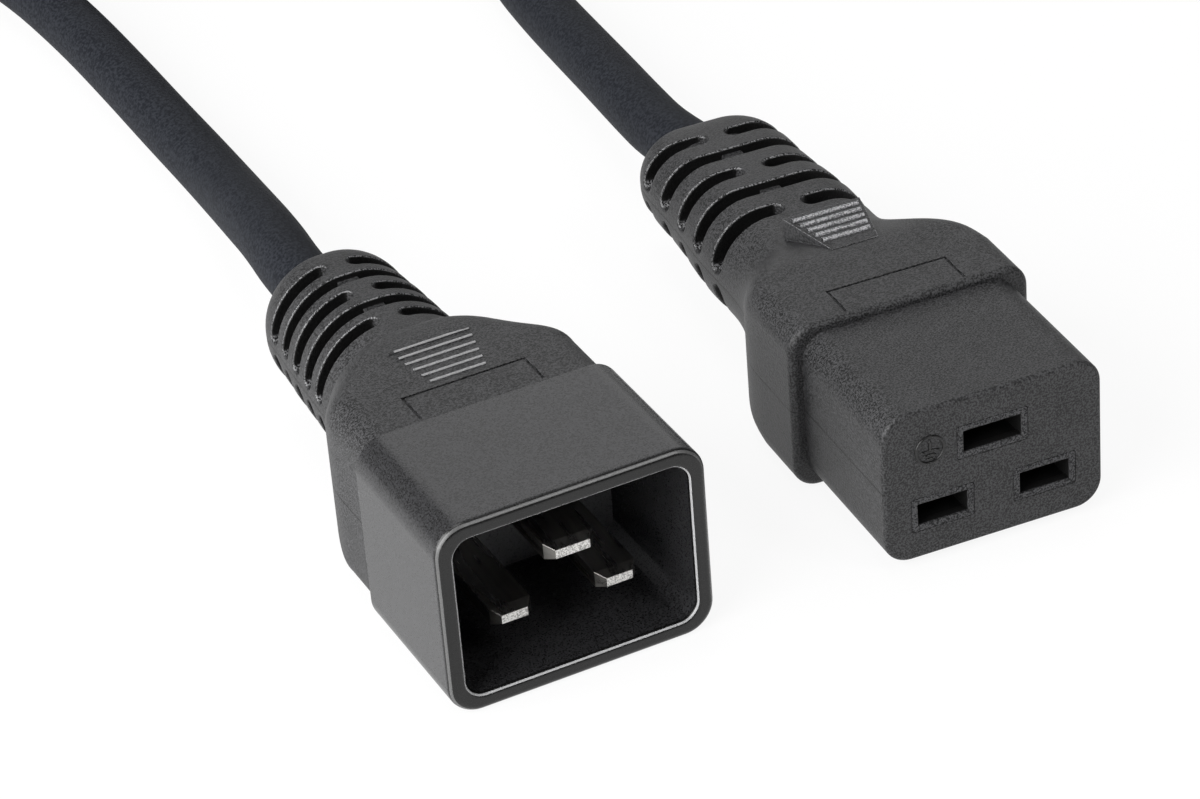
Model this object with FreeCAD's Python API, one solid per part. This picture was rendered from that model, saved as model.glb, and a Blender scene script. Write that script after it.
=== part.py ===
import FreeCAD, Part
import math
import os
from FreeCAD import Placement, Rotation, Vector

# A C19 connector on its mains lead, millimetres. The connector's own frame: X to the right seen from the
# mating face, Y from the mating face back to the cord, Z up, with the axis of the connector at x = z = 0.
# The C20 plug on the lead's other end is drawn in a frame of the same kind. place_connector and
# place_plug then set both down on the floor, z = 0.

# Contact pattern shared by both ends
line_pitch = 13.0
earth_rise = 8.0
blade_thickness = 2.0
line_blade_width = 5.0
earth_blade_width = 6.0
fit_gap = 0.05

# Cord: three cores in a round sheath
cord_diameter = 8.1
core_diameter = 2.9
strands_diameter = 1.6

# Connector nose and the slots in its face
nose_length = 20.2
nose_width = 27.8
nose_height = 19.8
nose_corner = 3.3
nose_edge_round = 0.45
slot_side_room = 0.7
slot_flat_room = 0.425

# Contact carrier: a block with three chimneys that reach the mating face
chimney_wall = 0.75
chimney_lip = 1.2
chimney_length = 11.0
cavity_extra_height = 0.3
carrier_block_length = 6.6
carrier_margin = 1.6
moulding_seam = 0.08

# Sheet parts and crimps
sheet = 0.4
contact_depth = 4.4
pinch_gap = 1.7
barrel_length = 3.4
grip_length = 2.7
blade_crimp_lift = 0.3

# Connector body behind the nose
collar_side_step = 1.6
collar_top_step = 1.1
collar_corner = 3.1
collar_length = 8.8
collar_edge_round = 0.8
shoulder_length = 16.0
relief_length = 34.5
relief_width = 21.8
relief_height = 15.9
relief_tail_width = 20.0
relief_tail_height = 11.8
relief_row_pitch = 5.6
relief_last_row = 5.5
relief_slot = 2.4
relief_mouth_round = 0.3

# Strain relief slots, both ends
relief_rows = 5
relief_skin = 0.85
relief_side_skin = 2.45
top_web = 2.6
side_web = 1.8
web_recess = 1.0

# Thumb pad and label frame on the connector
pad_length = 9.2
pad_start = 5.3
pad_front_width = 6.1
pad_rear_width = 10.2
pad_ribs = 5
pad_rib_pitch = 1.42
pad_rib_radius = 0.42
label_width = 15.6
label_depth = 6.1
label_groove = 0.36
label_groove_depth = 0.25

# Plug shroud and blades
mating_gap = 0.4
shroud_wall = 2.15
shroud_corner = 3.8
shroud_length = 20.8
floor_room = 0.3
shroud_base_length = 5.2
rim_round_outer = 0.85
rim_round_inner = 0.6
earth_tip_depth = 0.7
line_tip_depth = 3.3
tip_bevel_length = 1.3
tip_bevel = 0.45
blade_tip_inset = 0.9

# Plug body behind the shroud
plug_side_step = 0.95
plug_top_step = 0.4
plug_top_fall = 0.3
plug_collar_length = 8.4
plug_shoulder_length = 13.2
plug_relief_length = 26.0
plug_relief_steps = 4
plug_tail_round = 4.6
plug_relief_width = 20.7
plug_relief_height = 19.5
plug_tail_width = 18.3
plug_tail_height = 17.7
plug_row_pitch = 3.75
plug_last_row = 6.1
plug_slot = 2.0
plug_mouth_round = 0.25
grip_lines = 6
grip_line_pitch = 1.56
grip_line_radius = 0.2
grip_first_line = 7.4
grip_first_width = 6.9
grip_width_step = 0.64

# Where the plug lies beside the connector
plug_offset_x = -51.2
plug_offset_y = -0.31
plug_turn = 3.6

# Coil of the put-away length
cord_straight = 9.0
coil_turn_diameter = 94.0
coil_columns = 3
coil_layers = 2
coil_slack = 0.4
coil_corner = 3.0
coil_centre_x = -27.0
coil_centre_y = 208.0

# Derived places along the connector and the plug
collar_width = nose_width + 2 * collar_side_step
collar_height = nose_height + 2 * collar_top_step
connector_length = nose_length + collar_length + shoulder_length + relief_length
plug_length = shroud_length + plug_collar_length + plug_shoulder_length + plug_relief_length
axis_height = collar_height / 2
cavity_width = nose_width + 2 * mating_gap
cavity_height = nose_height + 2 * mating_gap
shroud_width = cavity_width + 2 * shroud_wall
shroud_height = cavity_height + 2 * shroud_wall
plug_axis_height = shroud_height / 2
carrier_end = chimney_length + carrier_block_length
base_end = shroud_length + shroud_base_length
core_circle = (core_diameter + fit_gap) / math.sqrt(3)

# name: (x, z, blade width) of each contact, seen from the mating face of the connector
contacts = {
    "earth": (0.0, earth_rise / 2, earth_blade_width),
    "line": (-line_pitch / 2, -earth_rise / 2, line_blade_width),
    "neutral": (line_pitch / 2, -earth_rise / 2, line_blade_width),
}
core_angles = {"earth": 90, "line": 210, "neutral": 330}


def rounded_outline(y, width, height, corner, x=0.0, z=0.0):
    """Rectangle with four quarter-round corners in the plane at y."""
    half_w = width / 2
    half_h = height / 2
    r = min(corner, half_w - 0.05, half_h - 0.05)
    edges = []
    for turn in range(4):
        side_x, side_z = [(1, 1), (-1, 1), (-1, -1), (1, -1)][turn]
        centre = Vector(x + side_x * (half_w - r), y, z + side_z * (half_h - r))
        first, middle, last = [math.radians(90 * turn + step) for step in (0, 45, 90)]
        arc_points = [centre + Vector(r * math.cos(a), 0, r * math.sin(a)) for a in (first, middle, last)]
        if edges:
            edges.append(Part.makeLine(previous, arc_points[0]))
        else:
            start = arc_points[0]
        edges.append(Part.Arc(*arc_points).toShape())
        previous = arc_points[2]
    edges.append(Part.makeLine(previous, start))
    return Part.Wire(edges)


def bar(y_start, y_end, width, height, corner=0.0, x=0.0, z=0.0):
    """Straight bar along Y with a rectangular or rounded section."""
    if corner:
        face = Part.Face(rounded_outline(y_start, width, height, corner, x, z))
        return face.extrude(Vector(0, y_end - y_start, 0))
    return Part.makeBox(width, y_end - y_start, height, Vector(x - width / 2, y_start, z - height / 2))


def rod(y_start, y_end, radius, x=0.0, z=0.0):
    """Round bar along Y."""
    return Part.makeCylinder(radius, y_end - y_start, Vector(x, y_start, z), Vector(0, 1, 0))


def rounded_path(points, radius=None):
    """Straight runs joined by tangent arcs. With no radius given, each arc is as large as its runs allow.
    Returns the wire and the smallest radius in it."""
    edges = []
    radii = []
    here = points[0]
    for before, corner, after in zip(points, points[1:], points[2:]):
        into = (corner - before).normalize()
        out = (after - corner).normalize()
        half_turn = into.getAngle(out) / 2
        shorter = min((corner - before).Length, (after - corner).Length)
        bend = radius or 0.45 * shorter / math.tan(half_turn)
        reach = bend * math.tan(half_turn)
        start = corner - into * reach
        end = corner + out * reach
        inward = (out - into).normalize()
        middle = corner + inward * (bend / math.cos(half_turn) - bend)
        edges.append(Part.makeLine(here, start))
        edges.append(Part.Arc(start, middle, end).toShape())
        radii.append(bend)
        here = end
    edges.append(Part.makeLine(here, points[-1]))
    return Part.Wire(edges), min(radii)


def round_along(points, outer, inner=0.0, radius=None):
    """Rod or tube of these diameters along a path of runs and arcs."""
    path, _ = rounded_path(points, radius)
    heading = points[1] - points[0]
    face = Part.Face(Part.Wire(Part.makeCircle(outer / 2, points[0], heading)))
    solid = path.makePipe(face)
    if inner:
        bore = Part.Face(Part.Wire(Part.makeCircle(inner / 2, points[0], heading)))
        solid = solid.cut(path.makePipe(bore))
    return solid


def strip_along(points, width, radius):
    """Sheet strip bent along a path in a plane of constant x."""
    path, _ = rounded_path(points, radius)
    heading = (points[1] - points[0]).normalize()
    across = Vector(1, 0, 0)
    up = heading.cross(across) * (sheet / 2)
    side = across * (width / 2)
    corners = [points[0] + side + up, points[0] - side + up, points[0] - side - up, points[0] + side - up]
    face = Part.Face(Part.makePolygon(corners + corners[:1]))
    return path.makePipe(face)


def smooth_body(stations):
    """Solid through rounded sections, each given as (y, width, height, corner)."""
    return Part.makeLoft([rounded_outline(*station) for station in stations], True, False)


def fillet_at(solid, radius, chosen):
    """Rounds the edges for which chosen(edge) is true."""
    return solid.makeFillet(radius, [edge for edge in solid.Edges if chosen(edge)])


def lies_at(y):
    """Test for edges that lie in the plane at y."""
    return lambda edge: abs(edge.BoundBox.YMin - y) < 0.01 and abs(edge.BoundBox.YMax - y) < 0.01


def relief_cutters(body_rear, width, height, tail_width, tail_height, length, last_row, pitch, slot):
    """Cross slots of a strain relief. Each slot runs from the side web at the parting plane up and over to
    the top web. Every second row has its top web recessed under the surface."""
    end = body_rear + length
    reach = max(width, height)
    inner = bar(body_rear, end, cord_diameter + 2 * relief_side_skin, cord_diameter + 2 * relief_skin, reach)
    cutters = []
    for row in range(relief_rows):
        y = end - last_row - row * pitch
        share = (end - y) / length
        row_height = tail_height + (height - tail_height) * share
        ring = bar(y - slot / 2, y + slot / 2, 2 * reach, 2 * reach).cut(inner)
        full_web = row % 2 == 0
        for side in (-1, 1):
            for half in (-1, 1):
                start = top_web / 2 + slot / 2 if full_web else -fit_gap
                plan = Part.makeBox(reach, slot, reach, Vector(start, y - slot / 2, 0))
                if full_web:
                    plan = plan.fuse(Part.makeCylinder(slot / 2, reach, Vector(start, y, 0)))
                low = side_web / 2 + slot / 2
                rise = Part.makeBox(reach, slot, reach, Vector(-fit_gap, y - slot / 2, low))
                foot = Part.makeCylinder(slot / 2, reach, Vector(-fit_gap, y, low), Vector(1, 0, 0))
                rise = rise.fuse(foot)
                cutter = plan.common(rise)
                if not full_web:
                    web = Part.makeBox(top_web, slot, row_height / 2 - web_recess,
                                       Vector(-top_web / 2, y - slot / 2, 0))
                    cutter = cutter.cut(web)
                if side < 0:
                    cutter = cutter.mirror(Vector(0, 0, 0), Vector(1, 0, 0))
                if half < 0:
                    cutter = cutter.mirror(Vector(0, 0, 0), Vector(0, 0, 1))
                cutters.append(cutter.common(ring))
    return cutters


def round_slot_mouths(shell, front, rear, radius):
    """Softens the edges where slots between front and rear break through the lofted skin."""
    skin = set()
    walls = set()
    for face in shell.Faces:
        hashes = [edge.hashCode() for edge in face.Edges]
        box = face.BoundBox
        if face.Surface.TypeId == "Part::GeomBSplineSurface":
            skin.update(hashes)
        elif box.YMin > front and box.YMax < rear:
            walls.update(hashes)
    mouths = skin & walls
    return fillet_at(shell, radius, lambda edge: edge.hashCode() in mouths)


def label_frame(front, top):
    """Groove on three sides of a label field, open towards the mating face."""
    low = top - label_groove_depth
    rear = front + label_depth
    groove = Part.makeBox(label_width, label_groove, 1, Vector(-label_width / 2, rear - label_groove, low))
    for side in (-1, 1):
        x = side * (label_width - label_groove) / 2 - label_groove / 2
        groove = groove.fuse(Part.makeBox(label_groove, label_depth - 1, 1, Vector(x, front + 1, low)))
    return groove


def crimp_start(body_end):
    """Where the wire barrel of a crimp begins, behind the part that holds the contact."""
    return body_end + 0.9


def insulation_start(body_end):
    """Where the core's insulation begins, between the two barrels."""
    return crimp_start(body_end) + barrel_length + 1.6


def crimp(x, z, body_end, lift):
    """Tail of a contact: a floor strip with a wire barrel and an insulation barrel, each slit on top.
    The barrels' axis is lifted above the contact's middle."""
    z = z + lift
    wire_bore = strands_diameter / 2 + fit_gap
    core_bore = core_diameter / 2 + fit_gap
    first = crimp_start(body_end)
    second = insulation_start(body_end) + 0.6
    floor_one = z - wire_bore - sheet / 2
    floor_two = z - core_bore - sheet / 2
    tail = strip_along([
        Vector(x, body_end - 2.2, floor_one),
        Vector(x, first + barrel_length + 0.2, floor_one),
        Vector(x, second - 0.1, floor_two),
        Vector(x, second + grip_length, floor_two),
    ], 1.6, 0.5)
    for start, length, bore in ((first, barrel_length, wire_bore), (second, grip_length, core_bore)):
        barrel = rod(start, start + length, bore + sheet, x, z)
        slit = bar(start, start + length, 0.3, bore + 2 * sheet, 0, x, z + bore / 2 + sheet)
        tail = tail.fuse(barrel).cut(rod(start - 1, start + length + 1, bore, x, z)).cut(slit)
    return tail


def core_route(name, side, body_end, sheath_start, cord_end, lift):
    """Points of a core from the cord's end to its crimp."""
    x, z, _ = contacts[name]
    z = z + lift
    angle = math.radians(core_angles[name])
    in_x = side * core_circle * math.cos(angle)
    in_z = core_circle * math.sin(angle)
    return [
        Vector(in_x, cord_end, in_z),
        Vector(in_x, sheath_start - 0.8, in_z),
        Vector(side * x, insulation_start(body_end) + grip_length + 1.2, z),
        Vector(side * x, insulation_start(body_end), z),
    ]


def strand_route(*place):
    """The core's points, carried on through the wire barrel."""
    points = core_route(*place)
    body_end = place[2]
    points[-1] = Vector(points[-1].x, crimp_start(body_end) - 0.5, points[-1].z)
    return points


def wiring(side, body_end, sheath_start, cord_end, lift, prefix):
    """Cores, strands and the end of the sheath inside one moulding, with the room they take in it."""
    parts = {}
    sheath = rod(sheath_start, cord_end, cord_diameter / 2)
    centres = []
    room = [rod(sheath_start - fit_gap, cord_end + 1, cord_diameter / 2 + fit_gap)]
    for name, (x, z, _) in contacts.items():
        place = (name, side, body_end, sheath_start, cord_end, lift)
        route = core_route(*place)
        strand_points = strand_route(*place)
        bend = core_diameter + 1
        bore = strands_diameter + 2 * fit_gap
        parts[prefix + name + "_core"] = round_along(route, core_diameter, bore, bend)
        parts[prefix + name + "_strands"] = round_along(strand_points, strands_diameter, 0, bend)
        grip_end = insulation_start(body_end) + 0.6 + grip_length
        chamber = core_diameter / 2 + sheet + 6 * fit_gap
        room.append(rod(body_end, grip_end + 0.2, chamber, side * x, z + lift))
        room.append(round_along(route, core_diameter + 2 * fit_gap, 0, bend))
        angle = math.radians(core_angles[name])
        in_x = side * core_circle * math.cos(angle)
        in_z = core_circle * math.sin(angle)
        centres.append(Vector(in_x, sheath_start - 1, in_z))
        sheath = sheath.cut(rod(sheath_start - 1, cord_end + 1, core_diameter / 2 + fit_gap / 2, in_x, in_z))
    between = Part.Face(Part.makePolygon(centres + centres[:1]))
    sheath = sheath.cut(between.extrude(Vector(0, cord_end - sheath_start + 2, 0)))
    parts[prefix + "sheath_end"] = sheath
    return parts, room


def slot_size(name):
    """Width and height of the slot that lets a blade in."""
    return contacts[name][2] + 2 * slot_side_room, blade_thickness + 2 * slot_flat_room


def chimney(name, extra=0.0):
    """Outside of one chimney of the contact carrier."""
    x, z, _ = contacts[name]
    width, height = slot_size(name)
    return bar(0, chimney_length + 0.5, width + 2 * (chimney_wall + extra),
               height + 2 * (chimney_wall + extra), 0.3, x, z)


def carrier_block(extra=0.0):
    """Block that joins the three chimneys, behind the nose's front."""
    return bar(chimney_length - extra, carrier_end, nose_width - 2 * carrier_margin + 2 * extra,
               nose_height - 2 * carrier_margin + 2 * extra, nose_corner - 1)


def make_carrier():
    """Hard insert that holds the contacts. A lip at the face keeps each contact from coming out."""
    carrier = carrier_block()
    for name in contacts:
        carrier = carrier.fuse(chimney(name))
    for name, (x, z, _) in contacts.items():
        width, height = slot_size(name)
        carrier = carrier.cut(bar(-1, carrier_end + 1, width, height, 0, x, z))
        inside = height + 2 * cavity_extra_height
        carrier = carrier.cut(bar(chimney_lip, carrier_end + 1, width, inside, 0, x, z))
    return carrier.removeSplitter()


def make_contact(name):
    """Folded clip: two sprung leaves that pinch the blade, a rear web and a crimp tail."""
    x, z, blade_width = contacts[name]
    _, slot_height = slot_size(name)
    leaf = slot_height / 2 + cavity_extra_height - 0.075 - sheet / 2
    pinch = pinch_gap / 2 + sheet / 2
    rear = carrier_end - 2
    mouth = contact_depth
    width = blade_width + slot_side_room
    half = [(mouth, leaf), (mouth + 1.9, pinch), (mouth + 4.2, pinch), (mouth + 7.5, leaf), (rear, leaf)]
    points = [Vector(x, y, z + level) for y, level in half]
    points += [Vector(x, y, z - level) for y, level in reversed(half)]
    clip = strip_along(points, width, 0.45)
    return clip.fuse(crimp(x, z, carrier_end, 0)).removeSplitter()


def connector_shell():
    """Outside of the connector's moulding, before anything is cut from it."""
    collar_end = nose_length + collar_length
    relief_start = collar_end + shoulder_length
    end = connector_length
    nose = bar(0, nose_length + 1, nose_width, nose_height, nose_corner)
    nose = fillet_at(nose, nose_edge_round, lies_at(0))
    collar = bar(nose_length, collar_end, collar_width, collar_height, collar_corner)
    collar = fillet_at(collar, collar_edge_round, lies_at(nose_length))
    waist = smooth_body([
        (collar_end, collar_width, collar_height, collar_corner),
        (collar_end + 0.26 * shoulder_length, 0.975 * collar_width, collar_height, collar_corner + 1.1),
        (collar_end + 0.52 * shoulder_length, 0.86 * collar_width, 0.93 * collar_height, collar_corner + 2.6),
        (collar_end + 0.76 * shoulder_length, 0.75 * collar_width, 0.81 * collar_height, collar_corner + 3.6),
        (relief_start, relief_width, relief_height, relief_height / 2 - 0.9),
        (relief_start + 0.3 * relief_length, relief_width - 0.2, relief_height - 1, relief_height / 2 - 1.2),
        (relief_start + 0.62 * relief_length, relief_tail_width + 0.4, relief_tail_height + 1.5,
         relief_tail_height / 2 + 0.4),
        (end - 5, relief_tail_width, relief_tail_height, relief_tail_height / 2 - 0.4),
        (end - 1.7, 0.92 * relief_tail_width, 0.93 * relief_tail_height, 0.93 * relief_tail_height / 2 - 0.3),
        (end, 0.76 * relief_tail_width, 0.84 * relief_tail_height, 0.84 * relief_tail_height / 2 - 0.2),
    ])
    return nose.fuse(collar).fuse(waist)


def thumb_pad():
    """Flat pad that stays level with the collar while the shoulder falls away, with cross ribs."""
    front = nose_length + collar_length + pad_start
    rear = front + pad_length
    top = collar_height / 2
    low = relief_height / 2 - 3
    outline = Part.makePolygon([
        Vector(-pad_front_width / 2, front, low), Vector(pad_front_width / 2, front, low),
        Vector(pad_rear_width / 2, rear, low), Vector(-pad_rear_width / 2, rear, low),
        Vector(-pad_front_width / 2, front, low)])
    pad = Part.Face(outline).extrude(Vector(0, 0, top - low))
    spread = (pad_rear_width - pad_front_width) / pad_length
    for rib in range(pad_ribs):
        y = rear - 1.05 - rib * pad_rib_pitch
        width = pad_front_width + spread * (y - front) - 1.0
        start = Vector(-width / 2, y, top - fit_gap)
        pad = pad.fuse(Part.makeCylinder(pad_rib_radius, width, start, Vector(1, 0, 0)))
    return pad


def make_connector_overmould():
    """Soft moulding of the connector: nose, collar, shoulder and slotted strain relief."""
    relief_start = nose_length + collar_length + shoulder_length
    shell = connector_shell().fuse(thumb_pad())
    shell = shell.cut(label_frame(nose_length, collar_height / 2))
    cutters = relief_cutters(relief_start, relief_width, relief_height, relief_tail_width, relief_tail_height,
                             relief_length, relief_last_row, relief_row_pitch, relief_slot)
    shell = round_slot_mouths(shell.cut(cutters), relief_start, connector_length, relief_mouth_round)
    shell = shell.cut(carrier_block(moulding_seam))
    for name in contacts:
        shell = shell.cut(chimney(name, moulding_seam))
    return shell


def make_shroud():
    """Hard shroud of the plug in one piece with the base that holds the blades."""
    depth = nose_length + floor_room
    shroud = bar(0, shroud_length, shroud_width, shroud_height, shroud_corner)
    shroud = fillet_at(shroud, rim_round_outer, lies_at(0))
    cavity_corner = shroud_corner - shroud_wall + 0.6
    cavity = bar(-1, depth, cavity_width, cavity_height, cavity_corner)
    shroud = shroud.cut(cavity)
    shroud = fillet_at(shroud, rim_round_inner,
                       lambda edge: lies_at(0)(edge) and edge.BoundBox.XMax < cavity_width / 2 + 0.1
                       and edge.BoundBox.XMin > -cavity_width / 2 - 0.1
                       and edge.BoundBox.ZMax < cavity_height / 2 + 0.1
                       and edge.BoundBox.ZMin > -cavity_height / 2 - 0.1)
    shroud = shroud.fuse(bar(shroud_length - 0.3, base_end, cavity_width, cavity_height, cavity_corner))
    for x, z, width in contacts.values():
        slot = bar(depth - 1, base_end + 1, width + 2 * fit_gap, blade_thickness + 2 * fit_gap, 0, x, z)
        shroud = shroud.cut(slot)
    return shroud.removeSplitter()


def make_blade(name, side):
    """Flat blade with a bevelled tip and a crimp tail."""
    x, z, width = contacts[name]
    x = side * x
    tip = earth_tip_depth if name == "earth" else line_tip_depth
    shank = tip + tip_bevel_length
    blade = bar(shank, base_end - 0.3, width, blade_thickness, 0, x, z)
    outlines = []
    for y, inset_w, inset_h in ((tip, blade_tip_inset, tip_bevel), (shank, 0, 0)):
        half_w = width / 2 - inset_w
        half_h = blade_thickness / 2 - inset_h
        signs = ((1, 1), (-1, 1), (-1, -1), (1, -1))
        corners = [Vector(x + half_w * across, y, z + half_h * up) for across, up in signs]
        outlines.append(Part.makePolygon(corners + corners[:1]))
    point = Part.makeLoft(outlines, True, True)
    return blade.fuse(point).fuse(crimp(x, z, base_end, blade_crimp_lift)).removeSplitter()


def plug_shell():
    """Outside of the plug's moulding, before anything is cut from it."""
    width = shroud_width - 2 * plug_side_step
    height = shroud_height - 2 * plug_top_step
    collar_end = shroud_length + plug_collar_length
    relief_start = collar_end + plug_shoulder_length
    end = plug_length
    collar = bar(shroud_length, collar_end, width, height, shroud_corner - 0.3)
    shoulder = smooth_body([
        (collar_end, width, height, shroud_corner - 0.3),
        (collar_end + 0.28 * plug_shoulder_length, 0.96 * width, height - 0.13 * plug_top_fall,
         shroud_corner + 0.6),
        (collar_end + 0.54 * plug_shoulder_length, 0.865 * width, height - 0.4 * plug_top_fall,
         shroud_corner + 2.8),
        (collar_end + 0.76 * plug_shoulder_length, 0.77 * width, height - plug_top_fall,
         shroud_corner + 4.0),
        (collar_end + 0.92 * plug_shoulder_length, 0.70 * width, 0.93 * height, 0.37 * height),
        (collar_end + 1.03 * plug_shoulder_length, 0.63 * width, 0.81 * height, 0.35 * height),
        (collar_end + 1.12 * plug_shoulder_length, 0.55 * width, 0.67 * height, 0.31 * height),
    ])
    tail = plug_relief_length - plug_tail_round
    stations = []
    for step in range(-1, plug_relief_steps + 1):
        share = step / plug_relief_steps
        wide = plug_relief_width + share * (plug_tail_width - plug_relief_width)
        high = plug_relief_height + share * (plug_tail_height - plug_relief_height)
        stations.append((relief_start + share * tail, wide, high, high / 2 - 0.3))
    for share, size in ((0.62, 0.92), (0.9, 0.80), (1, 0.69)):
        stations.append((end - (1 - share) * plug_tail_round, size * plug_tail_width, size * plug_tail_height,
                         size * plug_tail_height / 2 - 0.3))
    relief = smooth_body(stations)
    return collar.fuse(shoulder).fuse(relief)


def grip_line_ridges():
    """Thin raised lines across the top of the plug, shorter towards the shroud."""
    top = shroud_height / 2 - plug_top_step
    ridges = []
    for line in range(grip_lines):
        y = shroud_length + grip_first_line + line * grip_line_pitch
        width = grip_first_width + line * grip_width_step
        ridges.append(Part.makeCylinder(grip_line_radius, width, Vector(-width / 2, y, top), Vector(1, 0, 0)))
    return ridges


def make_plug_overmould():
    """Soft moulding of the plug: shoulder and slotted strain relief."""
    relief_start = shroud_length + plug_collar_length + plug_shoulder_length
    top = shroud_height / 2 - plug_top_step
    shell = plug_shell()
    for ridge in grip_line_ridges():
        shell = shell.fuse(ridge)
    shell = shell.cut(label_frame(shroud_length, top))
    cutters = relief_cutters(relief_start, plug_relief_width, plug_relief_height, plug_tail_width,
                             plug_tail_height, plug_relief_length, plug_last_row, plug_row_pitch, plug_slot)
    shell = round_slot_mouths(shell.cut(cutters), relief_start, plug_length, plug_mouth_round)
    cavity_corner = shroud_corner - shroud_wall + 0.6
    return shell.cut(bar(shroud_length - 1, base_end + fit_gap, cavity_width + 2 * fit_gap,
                         cavity_height + 2 * fit_gap, cavity_corner))


def place_connector(shape):
    """Puts a piece of the connector at its place on the floor."""
    shape = shape.copy()
    place = Placement(Vector(0, -connector_length / 2, axis_height), Rotation())
    shape.Placement = place.multiply(shape.Placement)
    return shape


def plug_placement():
    """The plug lies on the floor beside the connector, turned a little away from it."""
    place = Vector(plug_offset_x, plug_offset_y - connector_length / 2, plug_axis_height)
    return Placement(place, Rotation(Vector(0, 0, 1), plug_turn))


def place_plug(shape):
    """Puts a piece of the plug at its place on the floor."""
    shape = shape.copy()
    shape.Placement = plug_placement().multiply(shape.Placement)
    return shape


def coil_rows():
    """Radii of the turns and heights of the layers."""
    middle = coil_turn_diameter / 2
    radii = [middle + (column - (coil_columns - 1) / 2) * cord_diameter for column in range(coil_columns)]
    return radii, coil_layers * cord_diameter


def make_coil():
    """The put-away length as one ring, a little wider and higher than its turns."""
    radii, height = coil_rows()
    inner = radii[0] - cord_diameter / 2 - coil_slack
    outer = radii[-1] + cord_diameter / 2 + coil_slack
    height = height + coil_slack
    middle = coil_centre_x + (outer + inner) / 2
    section = rounded_outline(0, outer - inner, height, coil_corner, middle, height / 2)
    section.translate(Vector(0, coil_centre_y, 0))
    axis_foot = Vector(coil_centre_x, coil_centre_y, 0)
    return Part.Face(section).revolve(axis_foot, Vector(0, 0, 1), 360)


def cord_routes():
    """Hand-chosen points of the two free stretches, from each moulding to the coil."""
    lying = cord_diameter / 2
    radii, _ = coil_rows()
    right = coil_centre_x + radii[-1]
    left = coil_centre_x - radii[-1]
    exit_point = Vector(0, connector_length / 2, axis_height)
    connector_side = [
        exit_point,
        exit_point + Vector(0, cord_straight, 0),
        Vector(-0.1, 60.2, 9.4),
        Vector(1.0, 71.5, 6.8),
        Vector(2.3, 83.5, 4.7),
        Vector(3.0, 97, lying),
        Vector(3.6, 112, lying),
        Vector(6.6, 129, lying),
        Vector(12.2, 147, lying),
        Vector(right - 6.2, 166, lying),
        Vector(right - 1.6, 187, lying),
        Vector(right, coil_centre_y, lying),
    ]
    plug_exit = plug_placement().multVec(Vector(0, plug_length, 0))
    plug_heading = plug_placement().Rotation.multVec(Vector(0, 1, 0))
    plug_side = [
        plug_exit,
        plug_exit + plug_heading * cord_straight,
        Vector(-56.6, 47.4, 11.0),
        Vector(-55.7, 58.4, 8.9),
        Vector(-54.3, 70.2, 5.9),
        Vector(-53.6, 82.5, 4.5),
        Vector(-54.0, 96, lying),
        Vector(-55.2, 111, lying),
        Vector(-58.2, 128, lying),
        Vector(-64.2, 146.5, lying),
        Vector(-72.6, 165.5, lying),
        Vector(left + 2.2, 186.5, lying),
        Vector(left, coil_centre_y, lying),
    ]
    return connector_side, plug_side


def make_cord(points, coil, name):
    """One free stretch, cut off where it meets the coil."""
    path, smallest = rounded_path(points)
    tube = round_along(points, cord_diameter)
    expected = math.pi * cord_diameter ** 2 / 4 * path.Length
    print(name, "length", round(path.Length, 1), "smallest radius", round(smallest, 1),
          "volume ratio", round(tube.Volume / expected, 4))
    return tube.cut(coil)


def main():
    os.makedirs("parts", exist_ok=True)
    nodes = {}

    inner, room = wiring(1, carrier_end, nose_length + 16.5, connector_length, 0, "")
    overmould = make_connector_overmould()
    for space in room:
        overmould = overmould.cut(space)
    inner["connector_overmould"] = overmould.removeSplitter()
    inner["contact_carrier"] = make_carrier()
    for name in contacts:
        inner[name + "_contact"] = make_contact(name)
    for name, shape in inner.items():
        node = "connector_" + name if name == "sheath_end" else name
        nodes[node] = place_connector(shape)

    inner, room = wiring(-1, base_end, base_end + 20, plug_length, blade_crimp_lift, "plug_")
    overmould = make_plug_overmould()
    for space in room:
        overmould = overmould.cut(space)
    inner["plug_overmould"] = overmould.removeSplitter()
    inner["plug_shroud"] = make_shroud()
    for name in contacts:
        inner["plug_" + name + "_blade"] = make_blade(name, -1)
    for name, shape in inner.items():
        nodes[name] = place_plug(shape)

    coil = make_coil()
    connector_side, plug_side = cord_routes()
    nodes["connector_cord"] = make_cord(connector_side, coil, "connector_cord")
    nodes["plug_cord"] = make_cord(plug_side, coil, "plug_cord")
    nodes["cord_coil"] = coil

    for name, shape in nodes.items():
        print(name, "solids", len(shape.Solids), "valid", shape.isValid(), "volume", round(shape.Volume, 1))
        shape.exportStep(os.path.join("parts", name + ".step"))


main()
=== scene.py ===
import math
import bmesh
import bpy
import numpy as np
from mathutils import Matrix, Vector


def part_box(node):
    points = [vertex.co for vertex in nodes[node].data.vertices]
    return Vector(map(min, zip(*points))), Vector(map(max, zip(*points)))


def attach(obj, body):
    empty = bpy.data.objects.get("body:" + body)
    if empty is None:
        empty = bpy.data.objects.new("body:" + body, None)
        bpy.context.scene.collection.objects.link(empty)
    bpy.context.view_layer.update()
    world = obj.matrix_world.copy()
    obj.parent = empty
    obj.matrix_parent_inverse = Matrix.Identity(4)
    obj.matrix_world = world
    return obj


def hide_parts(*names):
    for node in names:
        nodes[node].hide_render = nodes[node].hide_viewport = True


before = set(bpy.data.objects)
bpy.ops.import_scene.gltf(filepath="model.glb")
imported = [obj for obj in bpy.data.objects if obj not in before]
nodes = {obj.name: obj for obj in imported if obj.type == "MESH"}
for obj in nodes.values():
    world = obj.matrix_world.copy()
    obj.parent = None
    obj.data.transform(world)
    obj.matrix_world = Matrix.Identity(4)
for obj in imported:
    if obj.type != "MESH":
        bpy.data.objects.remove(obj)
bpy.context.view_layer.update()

mm = 0.001

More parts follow.
